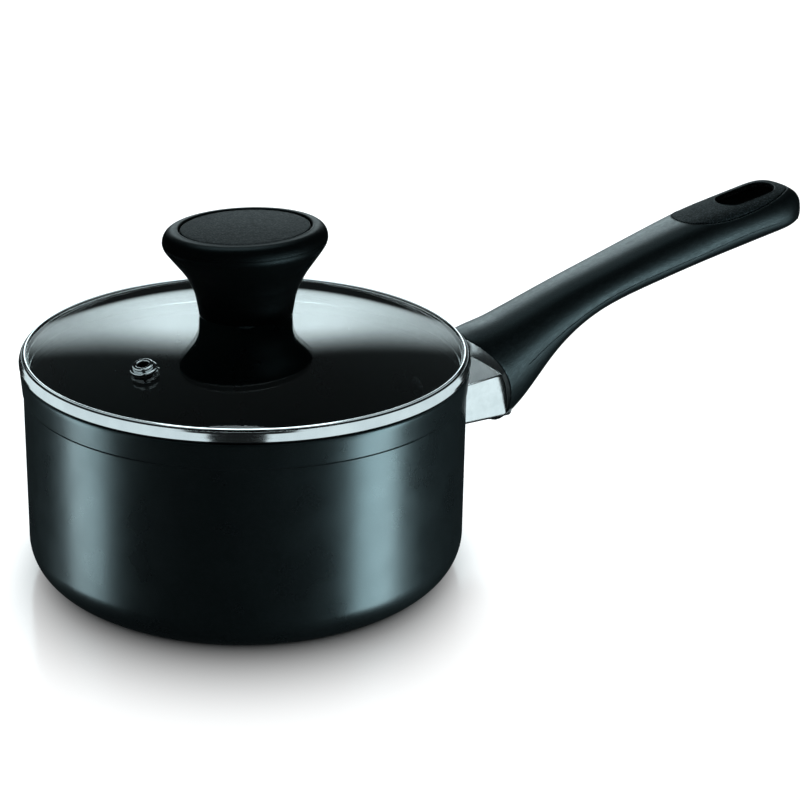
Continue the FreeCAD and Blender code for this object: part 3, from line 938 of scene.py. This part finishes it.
dress_node("base_disc", base_steel)
for name in ("handle_bracket", "handle_screw", "handle_screw_washer", "knob_washer", "knob_screw"):
    dress_node(name, zinc)
for name in ("handle_rivet_left", "handle_rivet_right"):
    dress_node(name, rivet_metal)
dress_node("steam_vent_washer", chrome)
for name in ("steam_vent_gasket", "knob_seat_gasket", "knob_gasket"):
    dress_node(name, silicone)
dress_node("knob_threaded_insert", insert_brass)


# ------------------------------------------------------------------ studio

def toward(angle, elevation):
    """A direction from the pan: angle 0 is the camera's side and 90 the camera's right."""
    a = math.radians(angle)
    e = math.radians(elevation)
    turn = math.radians(CAMERA_TURN)
    front = Vector((-math.sin(turn), -math.cos(turn), 0))
    right = Vector((math.cos(turn), -math.sin(turn), 0))
    return (front * math.cos(a) + right * math.sin(a)) * math.cos(e) + Vector((0, 0, math.sin(e)))


def soft_panel(
    name, direction, distance, width, height, radiance, pieces=(), aim=(0, 0, 0.04), blockers=(),
):
    """A lamp panel of even radiance. It can be kept to some pieces, and to some pieces that shade it."""
    data = bpy.data.lights.new(name, "AREA")
    data.shape = "RECTANGLE"
    data.size = width
    data.size_y = height
    data.energy = radiance * math.pi * width * height
    data.color = LIGHT_TINT
    light = bpy.data.objects.new(name, data)
    light.location = Vector(aim) + direction * distance
    light.rotation_euler = (-direction).to_track_quat("-Z", "Y").to_euler()
    scene.collection.objects.link(light)
    if pieces:
        reach = bpy.data.collections.new(name + "_reach")
        for piece in pieces:
            reach.objects.link(piece)
        light.light_linking.receiver_collection = reach
    if blockers:
        shade = bpy.data.collections.new(name + "_shade")
        for piece in blockers:
            shade.objects.link(piece)
        light.light_linking.blocker_collection = shade


def studio_world():
    """Pale to look at. What it lights with is a white card behind the pan, in a dark room."""
    world = bpy.data.worlds.new("studio")
    scene.world = world
    world.use_nodes = True
    tree = world.node_tree
    tree.nodes.clear()

    def ramp(source, start, end, low, high):
        made = tree.nodes.new("ShaderNodeMapRange")
        made.interpolation_type = "SMOOTHSTEP"
        for socket, value in zip(("From Min", "From Max", "To Min", "To Max"), (start, end, low, high)):
            made.inputs[socket].default_value = value
        tree.links.new(source, made.inputs["Value"])
        return made.outputs["Result"]

    def combine(operation, first, second):
        made = tree.nodes.new("ShaderNodeMath")
        made.operation = operation
        for socket, value in zip(made.inputs, (first, second)):
            if isinstance(value, float):
                socket.default_value = value
            else:
                tree.links.new(value, socket)
        return made.outputs[0]

    direction = tree.nodes.new("ShaderNodeTexCoord").outputs["Generated"]

    def share(axis):
        dot = tree.nodes.new("ShaderNodeVectorMath")
        dot.operation = "DOT_PRODUCT"
        dot.inputs[1].default_value = axis
        tree.links.new(direction, dot.inputs[0])
        return dot.outputs["Value"]

    right = share(toward(90, 0))
    away = share(toward(180, 0))
    height = share((0, 0, 1))

    across = combine("DIVIDE", combine("SUBTRACT", right, CARD_SIDE), CARD_HALF_WIDTH)
    upward = combine("DIVIDE", combine("SUBTRACT", height, CARD_HEIGHT), CARD_HALF_HEIGHT)
    squares = combine("ADD", combine("POWER", across, 2.0), combine("POWER", upward, 2.0))
    reach = combine("SQRT", squares, 0.0)
    side = ramp(combine("ABSOLUTE", across, 0.0), *CARD_SIDE_FADE, 1.0, CARD_SIDE_SHARE)
    card = combine("ADD", combine("MULTIPLY", height, CARD_RISE), CARD)
    card = combine("MULTIPLY", card, ramp(reach, *CARD_FADE, 1.0, 0.0))
    card = combine("MULTIPLY", card, side)
    card = combine("MULTIPLY", card, ramp(away, *CARD_BACK_FADE, 0.0, 1.0))
    card = combine("MULTIPLY", card, ramp(height, *CARD_FOOT_FADE, 0.0, 1.0))

    total = combine("ADD", card, AMBIENT)
    lit = tree.nodes.new("ShaderNodeBackground")
    lit.inputs["Color"].default_value = (*LIGHT_TINT, 1)
    tree.links.new(total, lit.inputs["Strength"])
    seen = tree.nodes.new("ShaderNodeBackground")
    seen.inputs["Color"].default_value = (1, 1, 1, 1)
    seen.inputs["Strength"].default_value = BACKDROP
    mix = tree.nodes.new("ShaderNodeMixShader")
    tree.links.new(tree.nodes.new("ShaderNodeLightPath").outputs["Is Camera Ray"], mix.inputs[0])
    tree.links.new(lit.outputs[0], mix.inputs[1])
    tree.links.new(seen.outputs[0], mix.inputs[2])
    output = tree.nodes.new("ShaderNodeOutputWorld")
    tree.links.new(mix.outputs[0], output.inputs["Surface"])


def pale_floor():
    """A pale floor that glows away from the pan, so that it stays even right out to its edge; near the pan
    the glow fades into a painted shadow, longer on the camera's side.
    """
    bm = bmesh.new()
    bmesh.ops.create_grid(bm, x_segments=FLOOR_CELLS, y_segments=FLOOR_CELLS, size=FLOOR_HALF)
    floor = made_object("floor", bm)
    s = Shader("pale_floor", Specular_IOR_Level=0.3)
    s.colour(s.spread(s.noise(400.0), 0, 1), (0.30, 0.30, 0.30), (0.32, 0.32, 0.32))
    s.roughness(s.noise(60.0), 0.16, 0.2)
    s.body.inputs["Emission Color"].default_value = (1, 1, 1, 1)
    distance = s.node("ShaderNodeVectorMath", operation="LENGTH")
    s.link(s.place, distance.inputs[0])
    distance = distance.outputs["Value"]
    forward = s.node("ShaderNodeVectorMath", operation="DOT_PRODUCT")
    forward.inputs[1].default_value = toward(0, 0)
    s.link(s.place, forward.inputs[0])
    # Painted shadow round the pan: no glow within the start distance, full glow past a width that grows
    # towards the camera's side.
    share = s.math("MAXIMUM", s.math("DIVIDE", forward.outputs["Value"], distance), 0.0)
    width = s.math("ADD", s.math("MULTIPLY", s.math("MULTIPLY", share, share), SHADE_FRONT), SHADE_SIDE)
    glow = s.math("DIVIDE", s.math("SUBTRACT", distance, SHADE_START), width)
    shade = s.math("POWER", s.spread(glow, 1.0, 0.0, 0.0, 1.0), SHADE_SOFTNESS)
    s.link(s.spread(shade, FLOOR_GLOW, 0.0, 0.0, 1.0), s.body.inputs["Emission Strength"])
    floor.data.materials.append(s.material)
    floor.location.z = cad_low.z - FLOOR_GAP
    floor.visible_glossy = False
    floor.visible_transmission = False
    floor.visible_shadow = False


def camera():
    data = bpy.data.cameras.new("camera")
    data.lens = CAMERA_LENS
    data.sensor_width = SENSOR
    data.clip_start = 0.01
    made = bpy.data.objects.new("camera", data)
    back = toward(0, CAMERA_TILT)
    right = toward(90, 0)
    up = back.cross(right)
    roll = math.radians(CAMERA_ROLL)
    rolled_right = right * math.cos(roll) + up * math.sin(roll)
    rolled_up = up * math.cos(roll) - right * math.sin(roll)
    turn = Matrix((rolled_right, rolled_up, back)).transposed().to_4x4()
    made.matrix_world = Matrix.Translation(Vector(CAMERA_PLACE) * MM) @ turn
    scene.collection.objects.link(made)
    scene.camera = made


studio_world()
pale_floor()

# name, direction, distance, width, height, radiance, pieces it lights, where it aims, pieces that shade it
# (no pieces: it lights everything; no shading pieces: everything shades it)
soft_panel("left_panel", toward(-81, 1), 0.70, 0.30, 0.76, 8.8, [pan])
soft_panel("right_panel", toward(71, -2), 0.70, 0.29, 0.95, 13.2, [pan])
soft_panel("top_panel", toward(180, 80), 1.2, 0.9, 0.6, 2.6)
soft_panel("glass_high_panel", toward(180, 52), 1.0, 3.4, 1.3, 0.03, [pane])
soft_panel("steel_left_panel", toward(-74, 0), 0.60, 2.1, 1.6, 0.85, bright_pieces)
soft_panel("steel_right_panel", toward(74, 0), 0.60, 2.1, 1.6, 0.85, [band, eyelet])
soft_panel("sleeve_panel", toward(66, -20), 0.60, 1.4, 1.1, 1.0, [sleeve])
soft_panel("sleeve_roof_panel", toward(-175, 24), 0.8, 0.9, 0.50, 14.0, [sleeve], (0.09, 0, 0.06), [pan])
soft_panel("steel_top_panel", toward(180, 75), 0.8, 1.1, 0.8, 1.4, [sleeve])
soft_panel("band_top_panel", toward(180, 75), 0.8, 1.1, 0.8, 0.35, [band])
soft_panel("cap_panel", toward(180, 10), 0.07, 0.12, 0.025, 3.5, [cap], (0, 0, KNOB_TOP * MM))
soft_panel("handle_sheen_panel", toward(-172, 36), 1.0, 0.6, 0.45, 6.5, handle_pieces)
soft_panel("black_strip_panel", toward(62, -13), 1.0, 0.8, 0.10, 55.0, handle_pieces)
soft_panel("knob_strip_panel", toward(62, -13), 1.0, 0.8, 0.10, 18.0, knob_pieces)

camera()
scene.view_settings.view_transform = "Standard"
